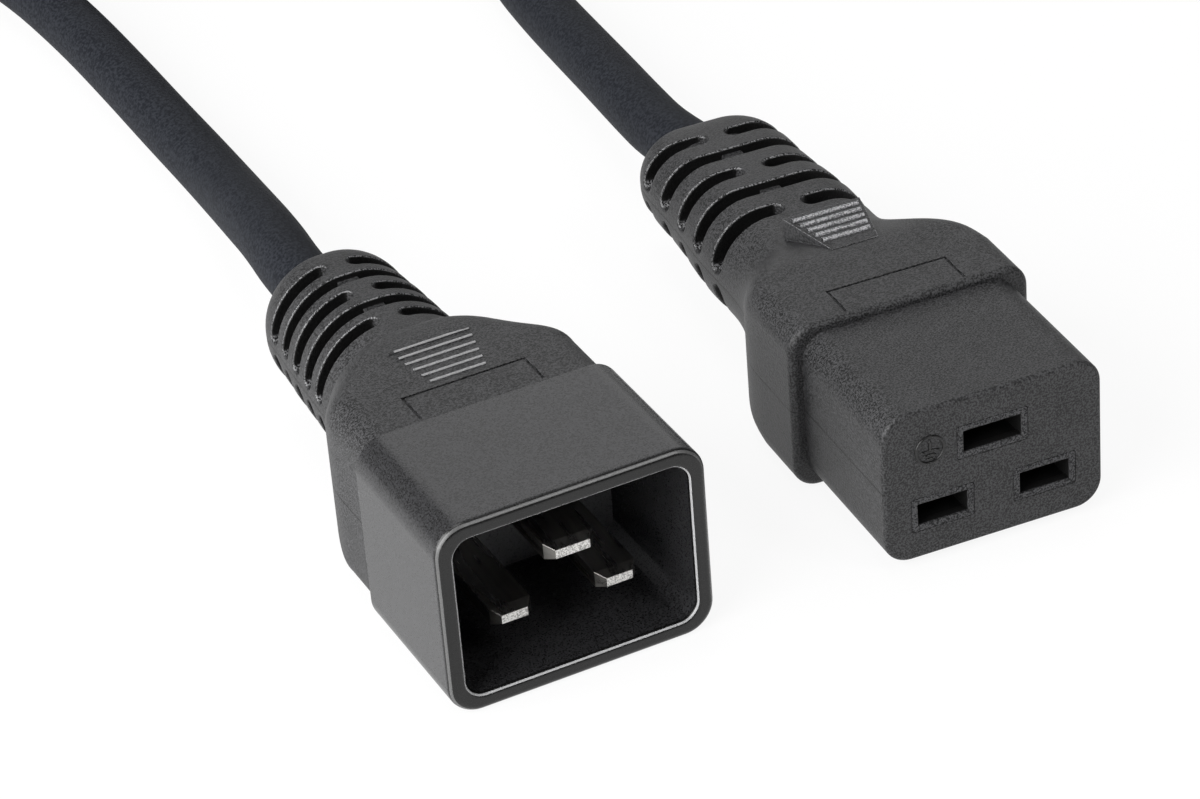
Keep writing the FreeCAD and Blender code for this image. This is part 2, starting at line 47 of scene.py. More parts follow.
faceLow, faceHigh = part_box("connector_overmould")
faceY = faceLow[1]                                  # the connector's mating face
connectorAxis = sum(corner[2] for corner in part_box("connector_sheath_end")) / 2
plugAxis = sum(corner[2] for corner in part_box("plug_sheath_end")) / 2
coilLow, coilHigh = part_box("cord_coil")
coilMiddle = (coilLow + coilHigh) / 2 / mm


camera = dict(
    place=(-187.7, -368.7, 291.1),      # mm: x, y from the mating face, height over the floor
    aim=(-27.74, 49.92, 0.0),           # mm: the floor point in the middle of the view
    roll=-4.78,                         # degrees, more is anticlockwise seen from behind
    lens=132.05,                        # mm, as is the sensor
    sensor=36,
    clipStart=0.01,
)


def fromFace(point):
    # millimetres counted from the mating face to metres in the frame
    x, y, z = point
    return Vector((x * mm, faceY + y * mm, z * mm))


def makeCamera():
    data = bpy.data.cameras.new("camera")
    data.lens = camera["lens"]
    data.sensor_width = camera["sensor"]
    data.clip_start = camera["clipStart"]
    item = bpy.data.objects.new("camera", data)
    bpy.context.scene.collection.objects.link(item)
    heading = fromFace(camera["aim"]) - fromFace(camera["place"])
    turn = heading.to_track_quat("-Z", "Y").to_matrix().to_4x4()
    roll = Matrix.Rotation(math.radians(camera["roll"]), 4, "Z")
    item.matrix_world = Matrix.Translation(fromFace(camera["place"])) @ turn @ roll
    bpy.context.scene.camera = item


makeCamera()
print("camera ready")


cord = dict(
    # sizes and places in mm
    diameter=8.1,
    length=2000,
    turnDiameter=94,        # at the middle of the turns
    turns=5.5,
    pointsPerTurn=24,
    stepFrom=0.72,          # the share of a turn after which it steps over to the next one
    straight=9,             # out of the plug
    fromConnector=[
        (-0.8, 48.8, 9.7), (-0.2, 60.2, 8.6), (0.8, 71.5, 7.2), (1.6, 83.5, 5.9), (2.3, 97, 4.8),
        (3.3, 112, 4.2), (6.6, 129, 4.05), (12.2, 147, 4.05), (21.9, 166, 4.05), (26.5, 187, 4.05),
    ],
    toPlug=[
        (-79.9, 186.5, 11.6), (-68.2, 165.5, 8.0), (-59.3, 146.5, 4.9), (-56.2, 128, 4.05),
        (-54.9, 111, 4.05), (-54.0, 96, 4.05), (-53.3, 82.5, 4.5), (-53.5, 70.2, 6.1),
        (-54.5, 58.4, 9.0), (-55.2, 47.4, 11.3),
    ],
    endSlice=1.2,           # of the sheath's ends, whose middles give the way out of the plug
    bevelSteps=9,
    stepsPerPoint=6,
)


def coilPoints():
    # Flat spiral in two layers: the radius steps in from the outer to the inner turn, then out again one
    # diameter higher. Each step is a smooth 3t^2 - 2t^3 over the last part of a turn. Control points of a
    # quadratic spline lie outside its circle, so the radius is divided by cos(pi / points per turn).
    step = cord["diameter"]
    middle = cord["turnDiameter"] / 2
    radii = np.array([middle + step, middle, middle - step, middle - step, middle, middle + step])
    heights = np.array([0.5, 0.5, 0.5, 1.5, 1.5, 1.5]) * step
    last = len(radii) - 1
    count = int(cord["turns"] * cord["pointsPerTurn"]) + 1
    turn = np.arange(count) / cord["pointsPerTurn"]
    ring = np.minimum(turn.astype(int), last)
    after = np.minimum(ring + 1, last)
    t = np.clip((turn - ring - cord["stepFrom"]) / (1 - cord["stepFrom"]), 0, 1)
    blend = t * t * (3 - 2 * t)
    radius = radii[ring] + (radii[after] - radii[ring]) * blend
    height = heights[ring] + (heights[after] - heights[ring]) * blend
    radius = radius / math.cos(math.pi / cord["pointsPerTurn"])
    angle = turn * 2 * math.pi
    x = coilMiddle[0] + radius * np.cos(angle)
    y = coilMiddle[1] + radius * np.sin(angle)
    return np.column_stack([x, y, height])


def cornersOf(node):
    # every vertex of a CAD piece, in mm
    data = nodes[node].data
    where = np.empty(len(data.vertices) * 3)
    data.vertices.foreach_get("co", where)
    return where.reshape(-1, 3) / mm


def makeCord():
    # one quadratic spline: its control points are the given ones of both runs and the coil's between
    connectorExit = Vector((0, faceHigh[1] / mm, connectorAxis / mm))
    sheath = cornersOf("plug_sheath_end")
    along = sheath[:, 1]
    plugExit = Vector(sheath[along > along.max() - cord["endSlice"]].mean(axis=0))
    inner = Vector(sheath[along < along.min() + cord["endSlice"]].mean(axis=0))
    heading = (plugExit - inner).normalized()
    points = [connectorExit]
    points += [Vector(p) for p in cord["fromConnector"]]
    points += [Vector(p) for p in coilPoints()]
    points += [Vector(p) for p in cord["toPlug"]]
    points += [plugExit + heading * cord["straight"], plugExit]
    curve = bpy.data.curves.new("cord", "CURVE")
    curve.dimensions = "3D"
    curve.bevel_depth = 1.0                             # times each point's radius
    curve.bevel_resolution = cord["bevelSteps"]
    curve.resolution_u = cord["stepsPerPoint"]
    curve.use_fill_caps = True
    spline = curve.splines.new("NURBS")
    spline.points.add(len(points) - 1)
    spline.points.foreach_set("co", [v for p in points for v in (p.x * mm, p.y * mm, p.z * mm, 1)])
    spline.points.foreach_set("radius", [cord["diameter"] / 2 * mm] * len(points))
    spline.order_u = 3
    spline.use_endpoint_u = True
    piece = bpy.data.objects.new("cord", curve)
    bpy.context.scene.collection.objects.link(piece)
    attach(piece, "root")
    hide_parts("connector_cord", "cord_coil", "plug_cord")
    return piece, connectorExit * mm


cordPiece, cordExit = makeCord()
print("cord laid")


tie = dict(
    # sizes in mm
    angle=50,               # degrees round the coil from +X, where all six turns lie together
    width=4.4,
    thickness=0.7,
    clearance=0.2,          # to the turns
    squareness=5,           # of the loop: 2 is an ellipse, more is nearer a box
    tailStart=5,            # outwards from the middle of the turns
    tailLength=24,
    tailPitch=9,            # one turn of the twist
    tailThicker=1.5,        # times the strap
    tailDrop=3,             # at its end
    tailBluntness=20,       # more makes its ends squarer
    tailTip=0.02,
    loopSteps=120,
    sectionSteps=16,
    tailRows=61,
)


def gridFaces(rows, columns, wrap):
    # quads between neighbouring rows and columns of a grid, the columns always closed into a ring;
    # the rows are closed too if wrap is 1, and capped at both ends if it is 0
    r, c = np.meshgrid(np.arange(rows - 1 + wrap), np.arange(columns), indexing="ij")
    here = r * columns + c
    over = (r + 1) % rows * columns + c
    beside = (c + 1) % columns - c
    quads = np.stack([here, over, over + beside, here + beside], axis=-1).reshape(-1, 4).tolist()
    if not wrap:
        first = list(range(columns))
        quads += [first, [(rows - 1) * columns + k for k in reversed(first)]]
    return quads


def makePiece(name, grids):
    # grids: (points in mm as rows x columns x 3, wrap) of each closed surface, put into one mesh
    points = []
    faces = []
    used = 0
    for grid, wrap in grids:
        rows, columns = grid.shape[:2]
        points.append(grid.reshape(-1, 3) * mm)
        faces += [[v + used for v in quad] for quad in gridFaces(rows, columns, wrap)]
        used += rows * columns
    mesh = bpy.data.meshes.new(name)
    mesh.from_pydata(np.concatenate(points).tolist(), [], faces)
    mesh.update()
    body = bmesh.new()
    body.from_mesh(mesh)
    bmesh.ops.recalc_face_normals(body, faces=body.faces)
    body.to_mesh(mesh)
    body.free()
    mesh.polygons.foreach_set("use_smooth", np.ones(len(mesh.polygons), bool))
    piece = bpy.data.objects.new(name, mesh)
    bpy.context.scene.collection.objects.link(piece)
    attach(piece, "root")
    return piece


def makeTie():
    # Twist tie round the coil. The loop is a superellipse in the plane through the coil's axis:
    # out = a |cos u|^k and up = b |sin u|^k with their signs, k = 2 / squareness. Its flat section is an
    # ellipse in v, thin across the loop. The tail is the same section, tailThicker times as thick, carried
    # inwards over the turns and turned once every tailPitch. At the share t of its length it has dropped
    # by tailDrop t^2 and its size goes as (1 - (2t - 1)^tailBluntness)^0.5, which rounds both ends.
    step = cord["diameter"]
    halfThick = tie["thickness"] / 2
    halfWide = tie["width"] / 2
    halfOut = 1.5 * step + tie["clearance"] + halfThick                 # three turns side by side
    halfUp = step + (tie["clearance"] + halfThick) / 2                  # two turns high
    middle = halfUp + halfThick
    u = np.linspace(0, 2 * math.pi, tie["loopSteps"], endpoint=False)[:, None]
    v = np.linspace(0, 2 * math.pi, tie["sectionSteps"], endpoint=False)[None, :]
    power = 2 / tie["squareness"]
    out = halfOut * np.sign(np.cos(u)) * np.abs(np.cos(u)) ** power
    up = halfUp * np.sign(np.sin(u)) * np.abs(np.sin(u)) ** power
    runOut = np.gradient(out[:, 0])[:, None]
    runUp = np.gradient(up[:, 0])[:, None]
    run = np.hypot(runOut, runUp)
    thin = halfThick * np.sin(v)
    wide = halfWide * np.cos(v)
    loop = np.stack([out + runUp / run * thin, wide + 0 * u, middle + up - runOut / run * thin], axis=-1)

    t = np.linspace(0, 1, tie["tailRows"])[:, None]
    girth = np.sqrt(np.clip(1 - (2 * t - 1) ** tie["tailBluntness"], tie["tailTip"], 1))
    angle = 2 * math.pi * t * tie["tailLength"] / tie["tailPitch"]
    thin = girth * tie["tailThicker"] * thin
    wide = girth * wide
    top = middle + halfUp + halfWide - tie["tailDrop"] * t * t
    tail = np.stack([tie["tailStart"] - tie["tailLength"] * t + 0 * v,
                     np.cos(angle) * wide - np.sin(angle) * thin,
                     top + np.sin(angle) * wide + np.cos(angle) * thin], axis=-1)

    turn = math.radians(tie["angle"])
    grids = []
    for grid, wrap in ((loop, 1), (tail, 0)):
        away = cord["turnDiameter"] / 2 + grid[..., 0]
        x = coilMiddle[0] + away * math.cos(turn) - grid[..., 1] * math.sin(turn)
        y = coilMiddle[1] + away * math.sin(turn) + grid[..., 1] * math.cos(turn)
        grids.append((np.stack([x, y, grid[..., 2]], axis=-1), wrap))
    return makePiece("coil_tie", grids)


tiePiece = makeTie()
print("coil tied")


def newGroup(name, inputs, outputs):
    group = bpy.data.node_groups.new(name, "ShaderNodeTree")
    for label, kind in inputs.items():
        group.interface.new_socket(label, in_out="INPUT", socket_type=kind)
    for label, kind in outputs.items():
        group.interface.new_socket(label, in_out="OUTPUT", socket_type=kind)
    return group, group.nodes.new("NodeGroupInput"), group.nodes.new("NodeGroupOutput")


def feed(tree, node, key, value):
    # a value is a constant or the socket that feeds it
    if isinstance(value, bpy.types.NodeSocket):
        tree.links.new(value, node.inputs[key])
    else:
        node.inputs[key].default_value = value


def add(tree, kind, settings=None, **values):
    # values go to inputs by name, or by number as i0, i1 and so on
    node = tree.nodes.new("ShaderNode" + kind)
    for name, value in (settings or {}).items():
        setattr(node, name, value)
    for name, value in values.items():
        numbered = name[0] == "i" and name[1:].isdigit()
        feed(tree, node, int(name[1:]) if numbered else name, value)
    return node


def place(tree, group, **values):
    node = tree.nodes.new("ShaderNodeGroup")
    node.node_tree = group
    for name, value in values.items():
        feed(tree, node, name, value)
    return node


def math2(tree, operation, a, b=0.0, clamp=False):
    return add(tree, "Math", {"operation": operation, "use_clamp": clamp}, i0=a, i1=b).outputs[0]


def vectorMath(tree, operation, a, b=(0, 0, 0)):
    return add(tree, "VectorMath", {"operation": operation}, i0=a, i1=b)


def times(tree, first, *others):
    for other in others:
        first = math2(tree, "MULTIPLY", first, other)
    return first


def between(tree, value, low, high):
    # 1 where low < value < high, 0 elsewhere
    return times(tree, math2(tree, "GREATER_THAN", value, low), math2(tree, "LESS_THAN", value, high))


def axesOf(tree, vector):
    return add(tree, "SeparateXYZ", i0=vector).outputs


def remap(tree, value, low, high, fromLow=0.3, fromHigh=0.7):
    # fromLow to fromHigh becomes low to high, clamped; nearly all of a noise lies from 0.3 to 0.7
    return add(tree, "MapRange", i0=value, i1=fromLow, i2=fromHigh, i3=low, i4=high).outputs[0]


def blendColour(tree, amount, colour, other):
    # colour where amount is 0, other where it is 1; either is a constant or a socket
    mix = add(tree, "Mix", {"data_type": "RGBA"}, i0=amount)
    for key, value in ((6, colour), (7, other)):
        feed(tree, mix, key, (*value, 1) if isinstance(value, tuple) else value)
    return mix.outputs[2]


floatSocket = "NodeSocketFloat"
vectorSocket = "NodeSocketVector"

grainLook = dict(
    detail=2.0,
    roughness=0.6,
    pitScale=0.7,           # times the fine noise's scale
    fineHeight=0.7,         # shares of the height
    pitHeight=0.3,
    slowScale=0.06,
    slowDetail=3.0,
    fineTone=0.92,          # shares of the tone
    slowTone=0.08,
)


def makeGrain():
    # Spark-eroded mould texture: fine noise and pits for the bumps, fine and slow noise for the tone
    group, given, made = newGroup("fineGrain", {"Vector": vectorSocket, "Size": floatSocket},
                                  {"Height": floatSocket, "Tone": floatSocket})
    where = given.outputs["Vector"]
    scale = math2(group, "DIVIDE", 1.0, given.outputs["Size"])
    fine = add(group, "TexNoise", Vector=where, Scale=scale, Detail=grainLook["detail"],
               Roughness=grainLook["roughness"]).outputs[0]
    pits = add(group, "TexVoronoi", Vector=where,
               Scale=times(group, scale, grainLook["pitScale"])).outputs[0]
    slow = add(group, "TexNoise", Vector=where, Scale=times(group, scale, grainLook["slowScale"]),
               Detail=grainLook["slowDetail"]).outputs[0]
    height = math2(group, "ADD", times(group, fine, grainLook["fineHeight"]),
                   times(group, pits, grainLook["pitHeight"]))
    tone = math2(group, "ADD", times(group, fine, grainLook["fineTone"]),
                 times(group, slow, grainLook["slowTone"]))
    group.links.new(height, made.inputs["Height"])
    group.links.new(tone, made.inputs["Tone"])
    return group


edgeLook = dict(
    samples=6,
    gain=4.0,       # of the lean, before it is cut off at 1
)


def makeEdge():
    # Edges worn round: the normal is averaged within Radius, and Edge is how far it leans from the face
    group, given, made = newGroup("softEdge", {"Radius": floatSocket},
                                  {"Normal": vectorSocket, "Edge": floatSocket})
    bevel = add(group, "Bevel", {"samples": edgeLook["samples"]}, Radius=given.outputs["Radius"])
    true = add(group, "NewGeometry").outputs["Normal"]
    same = vectorMath(group, "DOT_PRODUCT", bevel.outputs[0], true).outputs["Value"]
    lean = math2(group, "SUBTRACT", 1.0, same)
    group.links.new(bevel.outputs[0], made.inputs["Normal"])
    group.links.new(math2(group, "MULTIPLY", lean, edgeLook["gain"], clamp=True), made.inputs["Edge"])
    return group


def makePatch():
    # 1 inside the box around Centre that reaches Half on each side, 0 outside
    inputs = {"Vector": vectorSocket, "Centre": vectorSocket, "Half": vectorSocket}
    group, given, made = newGroup("patch", inputs, {"Mask": floatSocket})
    away = vectorMath(group, "SUBTRACT", given.outputs["Vector"], given.outputs["Centre"])
    share = vectorMath(group, "DIVIDE", away.outputs[0], given.outputs["Half"])
    x, y, z = axesOf(group, vectorMath(group, "ABSOLUTE", share.outputs[0]).outputs[0])
    largest = math2(group, "MAXIMUM", math2(group, "MAXIMUM", x, y), z)
    group.links.new(math2(group, "LESS_THAN", largest, 1.0), made.inputs["Mask"])
    return group


grainGroup = makeGrain()
edgeGroup = makeEdge()
patchGroup = makePatch()


def newMaterial(name, **fixed):
    # constant values go on the shader's own sockets, whose labels have spaces for the underscores
    material = bpy.data.materials.new(name)
    material.use_nodes = True
    tree = material.node_tree
    shader = tree.nodes["Principled BSDF"]
    for label, value in fixed.items():
        shader.inputs[label.replace("_", " ")].default_value = value
    where = tree.nodes.new("ShaderNodeTexCoord").outputs["Object"]
    return material, tree, shader, where


def bumpOn(tree, shader, height, distance, strength, normal):
    bump = add(tree, "Bump", Height=height, Distance=distance, Strength=strength, Normal=normal)
    tree.links.new(bump.outputs[0], shader.inputs["Normal"])


moulding = dict(
    # sizes in metres
    dark=(0.003, 0.003, 0.0032),
    light=(0.044, 0.044, 0.046),
    contrast=(0.42, 0.58),              # the grain's tones that become dark and light
    wearAndHighlightColour=(0.16, 0.16, 0.165),         # edges that are part real wear and part painted highlight, and the painted highlight on the slots' front lips
    slotWallShade=(0.0015, 0.0015, 0.0015),    # painted shade on the walls of the slots
    hollowFacing=0.9,                   # how squarely such a wall faces along Y, at least
    roughness=(0.42, 0.60),
    shine=0.36,
    grain=0.00023,
    bumpHeight=0.00010,
    bump=1.0,
    edgeRadius=0.00010,
    edgeWearAndHighlight=0.25,                      # share of the bright colour on an edge, part wear and part painted highlight
    wearAndHighlightContrast=(0.3, 0.7),            # where the wear and painted highlight come in, from 0 at dark to 1 at light
    seamHalf=0.00012,                   # half the hairline's width
    seamColour=(0.0005, 0.0005, 0.0005),
    seamFacing=0.4,                     # how much a side faces along X, at least
    seamDepth=1.4,                      # times the grain's height
    lipFacing=(-0.85, -0.35),           # the way the lips face, along Y
    lipUp=0.7,                          # how much they face up where their painted highlight is full
    lipGloss=0.2,                       # taken off the roughness
    ribGloss=0.28,
)

grips = dict(
    # along: the middle of the grip ribs in mm, from the front of the front piece
    # half: half sizes in mm of the box round them, which is centred on the moulding's top
    # colour, grainShown: the painted highlight on the ribs' crests, and how much the grain shows on it
    # facing: the way a crest faces along Y, at most
    # slotsFrom: where the slots start, as a share of the moulding's length
    connector=dict(front="connector_overmould", axis=connectorAxis, along=38.9, half=(5.2, 4.6, 0.4),
                   colour=(0.30, 0.30, 0.31), grainShown=0.7, facing=-0.2, slotsFrom=0.47),
    plug=dict(front="plug_shroud", axis=plugAxis, along=32.1, half=(6, 5, 0.15),
              colour=(0.25, 0.25, 0.255), grainShown=0.2, facing=0.35, slotsFrom=0.55),
)


def gripBox(end):
    # centre and half size, in metres, of the box that holds the grip ribs
    grip = grips[end]
    low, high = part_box(grip["front"])
    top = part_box(end + "_overmould")[1][2]
    centre = ((low[0] + high[0]) / 2, low[1] + grip["along"] * mm, top)
    return centre, tuple(v * mm for v in grip["half"])


def slotBox(end):
    # centre and half size, in metres, of the box that holds the strain relief's slots, with 1 mm to spare
    low, high = (np.array(corner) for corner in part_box(end + "_overmould"))
    low[1] += (high[1] - low[1]) * grips[end]["slotsFrom"]
    return (low + high) / 2, (high - low) / 2 + mm


def makeMoulding(end):
    grip = grips[end]
    material, tree, shader, where = newMaterial(end + "Moulding", Specular_IOR_Level=moulding["shine"])
    grain = place(tree, grainGroup, Vector=where, Size=moulding["grain"])
    edge = place(tree, edgeGroup, Radius=moulding["edgeRadius"])
    ribs, slots = (place(tree, patchGroup, Vector=where, Centre=centre, Half=half).outputs["Mask"]
                   for centre, half in (gripBox(end), slotBox(end)))
    trueNormal = add(tree, "NewGeometry").outputs["Normal"]
    sideways, along, upwards = axesOf(tree, trueNormal)

    # the grain, with painted shade darkening the slots' walls
    speckle = remap(tree, grain.outputs["Tone"], 0, 1, *moulding["contrast"])
    tone = blendColour(tree, speckle, moulding["dark"], moulding["light"])
    square = math2(tree, "GREATER_THAN", math2(tree, "ABSOLUTE", along), moulding["hollowFacing"])
    tone = blendColour(tree, times(tree, square, slots), tone, moulding["slotWallShade"])

    # painted highlights on the slots' lips, bright edges that are part wear and part painted highlight,
    # and painted highlights on the crests of the grip ribs
    lipHighlight = times(tree, between(tree, along, *moulding["lipFacing"]), slots,
                remap(tree, upwards, 0, 1, 0.0, moulding["lipUp"]))
    wearAndHighlight = math2(tree, "MAXIMUM", lipHighlight, times(tree, edge.outputs["Edge"], moulding["edgeWearAndHighlight"]))
    wearAndHighlight = times(tree, wearAndHighlight, remap(tree, speckle, 0, 1, *moulding["wearAndHighlightContrast"]))
    tone = blendColour(tree, wearAndHighlight, tone, moulding["wearAndHighlightColour"])
    flank = math2(tree, "LESS_THAN", along, grip["facing"])
    crest = times(tree, math2(tree, "MAXIMUM", edge.outputs["Edge"], flank), ribs)
    # the crests get a painted highlight, broken up by the grain
    crestHighlight = times(tree, crest, remap(tree, speckle, 1 - grip["grainShown"], 1, 0, 1))
    tone = blendColour(tree, crestHighlight, tone, grip["colour"])

    # hairline where the two halves of the mould met
    off = math2(tree, "ABSOLUTE", math2(tree, "SUBTRACT", axesOf(tree, where)[2], grip["axis"]))
    beside = math2(tree, "GREATER_THAN", math2(tree, "ABSOLUTE", sideways), moulding["seamFacing"])
    seam = times(tree, math2(tree, "LESS_THAN", off, moulding["seamHalf"]), beside)
    tree.links.new(blendColour(tree, seam, tone, moulding["seamColour"]), shader.inputs["Base Color"])

    rough = remap(tree, grain.outputs["Tone"], *moulding["roughness"])
    rough = math2(tree, "SUBTRACT", rough, times(tree, lipHighlight, moulding["lipGloss"]))
    rough = math2(tree, "SUBTRACT", rough, times(tree, crest, moulding["ribGloss"]))
    tree.links.new(rough, shader.inputs["Roughness"])
    normal = add(tree, "Mix", {"data_type": "VECTOR"}, i0=ribs, i4=edge.outputs["Normal"], i5=trueNormal)
    surface = math2(tree, "SUBTRACT", grain.outputs["Height"], times(tree, seam, moulding["seamDepth"]))
    strength = math2(tree, "SUBTRACT", moulding["bump"], crest)
    bumpOn(tree, shader, surface, moulding["bumpHeight"], strength, normal.outputs[1])
    return material


surfaceLook = dict(
    # shared by the plain finishes, sizes in metres
    contrast=(0.42, 0.58),
    edgeRadius=0.00016,
    bumpHeight=0.00006,
)

plain = dict(
    # grain: its size in metres
    carrier=dict(dark=(0.010, 0.010, 0.0105), light=(0.074, 0.074, 0.077), rough=(0.50, 0.60),
                 grain=0.00023, bump=0.5, shine=0.12),
    shroud=dict(dark=(0.007, 0.007, 0.0073), light=(0.029, 0.029, 0.031), rough=(0.25, 0.33),
                grain=0.0002, bump=0.2, shine=0.44),
    cable=dict(dark=(0.007, 0.008, 0.011), light=(0.019, 0.021, 0.026), rough=(0.62, 0.70),
               grain=0.0004, bump=0.15, shine=0.1),
    tie=dict(dark=(0.010, 0.010, 0.010), light=(0.016, 0.016, 0.016), rough=(0.30, 0.40),
             grain=0.0004, bump=0.1, shine=0.5),
    # sign: near-black as painted shade, so the raised earth sign reads as dark lines
    sign=dict(dark=(0.002, 0.002, 0.002), light=(0.004, 0.004, 0.004), rough=(0.25, 0.35),
              grain=0.0003, bump=0.1, shine=0.5),
    earthCore=dict(dark=(0.03, 0.22, 0.04), light=(0.05, 0.28, 0.06), rough=(0.35, 0.45),
                   grain=0.0004, bump=0.1, shine=0.5),
    brownCore=dict(dark=(0.09, 0.035, 0.015), light=(0.12, 0.05, 0.02), rough=(0.35, 0.45),
                   grain=0.0004, bump=0.1, shine=0.5),
    blueCore=dict(dark=(0.02, 0.08, 0.30), light=(0.03, 0.11, 0.38), rough=(0.35, 0.45),
                  grain=0.0004, bump=0.1, shine=0.5),
)

openings = dict(
    depth=0.00025,          # metres behind the face, past which painted shade darkens the carrier's openings
    colour=(0.006, 0.006, 0.006),
)

shroudLook = dict(
    # sizes in mm
    turn=3.6,               # degrees of the plug about Z
    wall=2.3,
    fillet=0.7,             # of the wall's inner edge
    overhang=0.46,          # of the boxes past the shroud's ends
    paintedLightFrom=6,            # where the painted light in the cavity starts, behind the mouth
    cavityPaintedLight=(0.13, 0.13, 0.135),   # painted light, strongest at the cavity's floor and fading out towards its mouth
    rimDepth=0.6,           # of the rim, from its front
    # painted shade on the rim's front
    rimShade=(0.004, 0.004, 0.004),
    rimGlint=(0.09, 0.09, 0.09),
    # brighter painted glint on the rim's inner rounded edge
    rimInnerGlint=(0.34, 0.34, 0.345),
    rimFacing=(-0.85, -0.55),           # painted glint on the rim's rounded edges
)


def shadeCarrier(tree, where, colour):
    # painted shade in the carrier's openings, past that depth
    holeShade = math2(tree, "GREATER_THAN", axesOf(tree, where)[1], faceY + openings["depth"])
    return blendColour(tree, holeShade, colour, openings["colour"])


def shadeShroud(tree, where, colour):
    # painted light in the cavity, painted shade on the rim and painted glints on its rounded edges, worked
    # out in the plug's own axes, which are turned a little about Z
    turn = math.radians(shroudLook["turn"])
    corners = cornersOf("plug_shroud") * mm @ np.array(Matrix.Rotation(turn, 3, "Z"))
    low = corners.min(axis=0)
    high = corners.max(axis=0)
    turned = add(tree, "VectorRotate", {"rotation_type": "Z_AXIS"}, Vector=where, Angle=-turn).outputs[0]
    along = axesOf(tree, turned)[1]
    masks = []
    for side in (shroudLook["wall"], shroudLook["wall"] - shroudLook["fillet"]):
        inset = np.array([side, -shroudLook["overhang"], side]) * mm
        masks.append(place(tree, patchGroup, Vector=turned, Centre=(low + high) / 2,
                           Half=(high - low) / 2 - inset).outputs["Mask"])
    cavity, mouth = masks
    # painted light inside the cavity, growing towards its floor
    deep = remap(tree, along, 0, 1, low[1] + shroudLook["paintedLightFrom"] * mm, high[1])
    colour = blendColour(tree, times(tree, deep, cavity), colour, shroudLook["cavityPaintedLight"])
    # painted shade on the rim
    rim = math2(tree, "LESS_THAN", along, low[1] + shroudLook["rimDepth"] * mm)
    colour = blendColour(tree, rim, colour, shroudLook["rimShade"])
    # painted glints on the rim's rounded edges, brighter on the inner ones
    facing = axesOf(tree, add(tree, "NewGeometry").outputs["Normal"])[1]
    glint = times(tree, between(tree, facing, *shroudLook["rimFacing"]), rim)
    colour = blendColour(tree, glint, colour, shroudLook["rimGlint"])
    return blendColour(tree, times(tree, glint, mouth), colour, shroudLook["rimInnerGlint"])


def makePlain(name, shade=None):
    values = plain[name]
    material, tree, shader, where = newMaterial(name, Specular_IOR_Level=values["shine"])
    grain = place(tree, grainGroup, Vector=where, Size=values["grain"])
    edge = place(tree, edgeGroup, Radius=surfaceLook["edgeRadius"])
    speckle = remap(tree, grain.outputs["Tone"], 0, 1, *surfaceLook["contrast"])
    colour = blendColour(tree, speckle, values["dark"], values["light"])
    if shade:
        colour = shade(tree, where, colour)
    tree.links.new(colour, shader.inputs["Base Color"])
    tree.links.new(remap(tree, grain.outputs["Tone"], *values["rough"]), shader.inputs["Roughness"])
    bumpOn(tree, shader, grain.outputs["Height"], surfaceLook["bumpHeight"], values["bump"],
           edge.outputs["Normal"])
    return material


brushedLook = dict(
    # shared by the metals, sizes in metres
    detail=3.0,
    roughness=0.6,
    bumpHeight=0.00002,
    bump=0.35,
    edgeRadius=0.00010,
)

metals = dict(
    # stretch: noise cells per metre along X, Y and Z, few along the brushed way
    nickel=dict(dark=(0.26, 0.25, 0.24), light=(0.36, 0.35, 0.33), rough=(0.24, 0.34),
                stretch=(900, 60, 900)),
    brass=dict(dark=(0.22, 0.15, 0.07), light=(0.34, 0.24, 0.11), rough=(0.35, 0.50),
               stretch=(700, 80, 700)),
    copper=dict(dark=(0.60, 0.25, 0.12), light=(0.76, 0.38, 0.22), rough=(0.28, 0.40),
                stretch=(2600, 90, 2600)),
)

bladeEnd = dict(
    # the sheared end of a blade
    dark=(0.30, 0.295, 0.285),
    light=(0.78, 0.77, 0.75),
    contrast=(0.4, 0.55),
    grain=0.0002,           # metres
    roughness=0.25,         # more than the sides
    facing=-0.93,           # along Y, at most
)


def makeMetal(name):
    values = metals[name]
    material, tree, shader, where = newMaterial(name, Metallic=1.0)
    stretched = add(tree, "Mapping", i0=where, Scale=values["stretch"]).outputs[0]
    brushed = add(tree, "TexNoise", Vector=stretched, Scale=1.0, Detail=brushedLook["detail"],
                  Roughness=brushedLook["roughness"]).outputs[0]
    colour = blendColour(tree, remap(tree, brushed, 0, 1), values["dark"], values["light"])
    rough = remap(tree, brushed, *values["rough"])
    if name == "nickel":
        along = axesOf(tree, add(tree, "NewGeometry").outputs["Normal"])[1]
        cut = math2(tree, "LESS_THAN", along, bladeEnd["facing"])
        grain = place(tree, grainGroup, Vector=where, Size=bladeEnd["grain"])
        speckle = remap(tree, grain.outputs["Tone"], 0, 1, *bladeEnd["contrast"])
        torn = blendColour(tree, speckle, bladeEnd["dark"], bladeEnd["light"])
        colour = blendColour(tree, cut, colour, torn)
        rough = math2(tree, "ADD", rough, times(tree, cut, bladeEnd["roughness"]))
    tree.links.new(colour, shader.inputs["Base Color"])
    tree.links.new(rough, shader.inputs["Roughness"])
    edge = place(tree, edgeGroup, Radius=brushedLook["edgeRadius"])
    bumpOn(tree, shader, brushed, brushedLook["bumpHeight"], brushedLook["bump"], edge.outputs["Normal"])
    return material


def setMaterial(item, material):
    item.data.materials.clear()
    item.data.materials.append(material)


